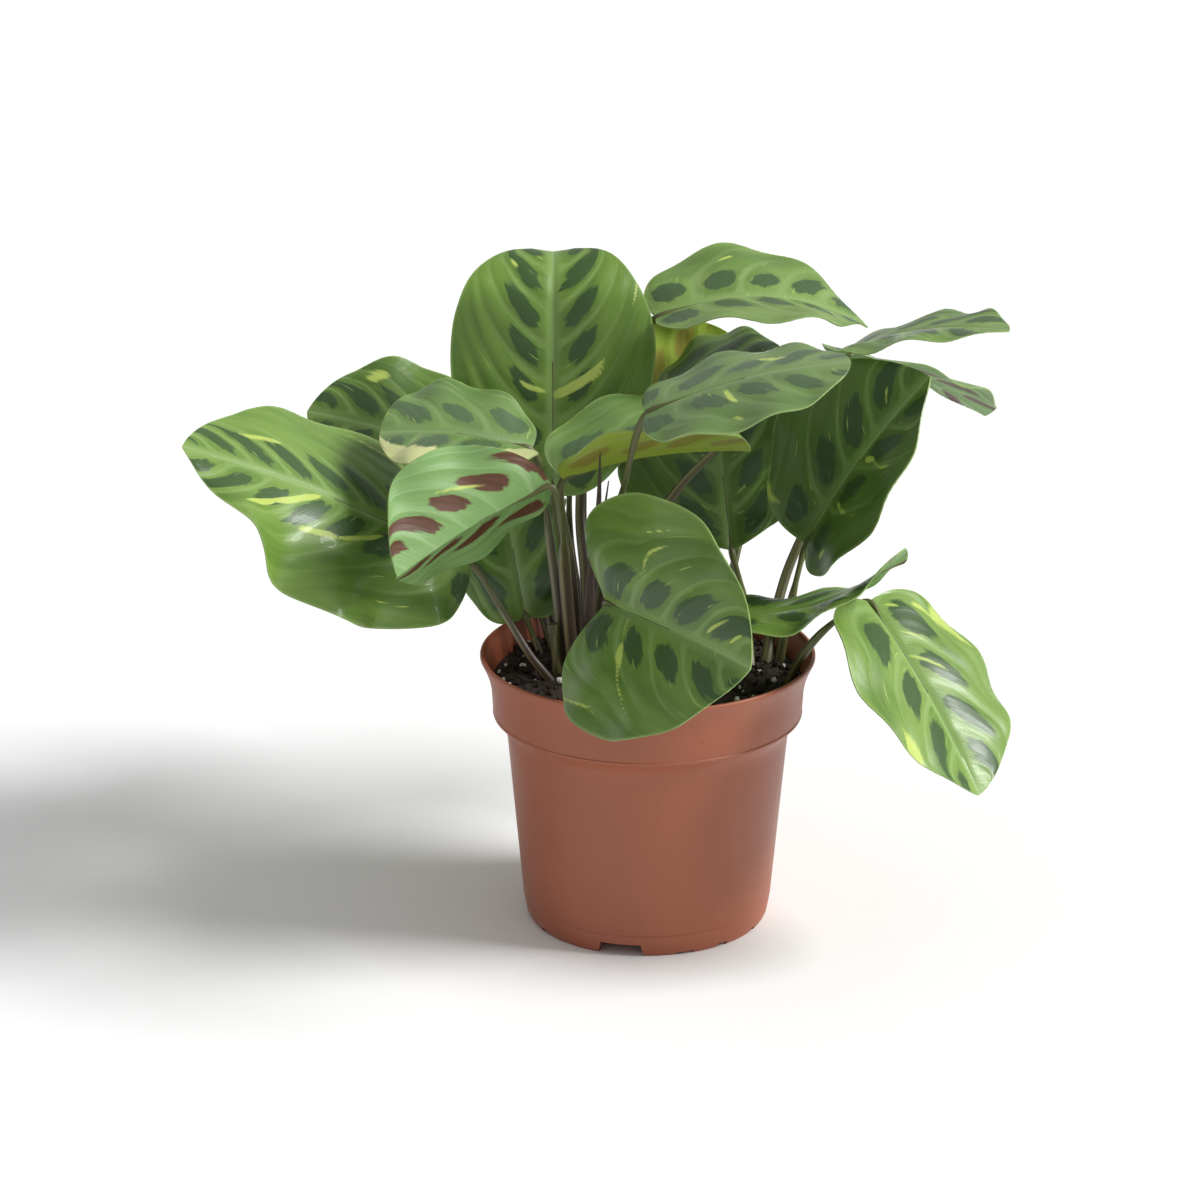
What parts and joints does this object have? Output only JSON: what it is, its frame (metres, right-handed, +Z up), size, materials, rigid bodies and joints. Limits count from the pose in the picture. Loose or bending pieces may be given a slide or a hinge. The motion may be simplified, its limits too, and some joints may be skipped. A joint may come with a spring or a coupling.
{
  "type": "potted prayer plant",
  "caption": "Prayer plant with broad, blotched oval leaves on thin dark petioles, in a tapered terracotta-coloured plastic nursery pot filled with soil.",
  "frame": {"origin": "middle of the pot's underside, on the plane it stands on", "axes": "+Z up; +X to the right and -Y towards the viewer, who looks at the side with the leaf that drapes over the rim"},
  "size_m": [0.2914, 0.2486, 0.2316],
  "materials": {
    "terracotta_plastic": "satin",
    "soil": "matte, crumbly",
    "leaf_blade": "satin, waxy",
    "petiole": "satin",
    "cut_petiole": "matte"
  },
  "bodies": {
    "root": {"pot": "terracotta_plastic", "soil": "soil", "blade_crown": "leaf_blade", "blade_turned": "leaf_blade", "blade_inner_left": "leaf_blade", "blade_outer_left": "leaf_blade", "blade_rear_left": "leaf_blade", "blade_low_left": "leaf_blade", "blade_folded": "leaf_blade", "blade_front_right": "leaf_blade", "blade_top_right": "leaf_blade", "blade_mid_rear": "leaf_blade", "blade_rear_turned": "leaf_blade", "blade_tall_right": "leaf_blade", "blade_wide_rear": "leaf_blade", "blade_far_upper": "leaf_blade", "blade_far_lower": "leaf_blade", "blade_low_right": "leaf_blade", "blade_draped": "leaf_blade", "blade_hanging": "leaf_blade", "blade_back_high": "leaf_blade", "blade_back_right": "leaf_blade", "blade_back_left": "leaf_blade", "petiole_crown": "petiole", "petiole_turned": "petiole", "petiole_inner_left": "petiole", "petiole_outer_left": "petiole", "petiole_rear_left": "petiole", "petiole_low_left": "petiole", "petiole_folded": "petiole", "petiole_front_right": "petiole", "petiole_top_right": "petiole", "petiole_mid_rear": "petiole", "petiole_rear_turned": "petiole", "petiole_tall_right": "petiole", "petiole_wide_rear": "petiole", "petiole_far_upper": "petiole", "petiole_far_lower": "petiole", "petiole_low_right": "petiole", "petiole_draped": "petiole", "petiole_hanging": "petiole", "petiole_back_high": "petiole", "petiole_back_right": "petiole", "petiole_back_left": "petiole", "spike_tall": "petiole", "spike_short": "petiole", "cut_stub": "cut_petiole"}
  },
  "joints": []
}
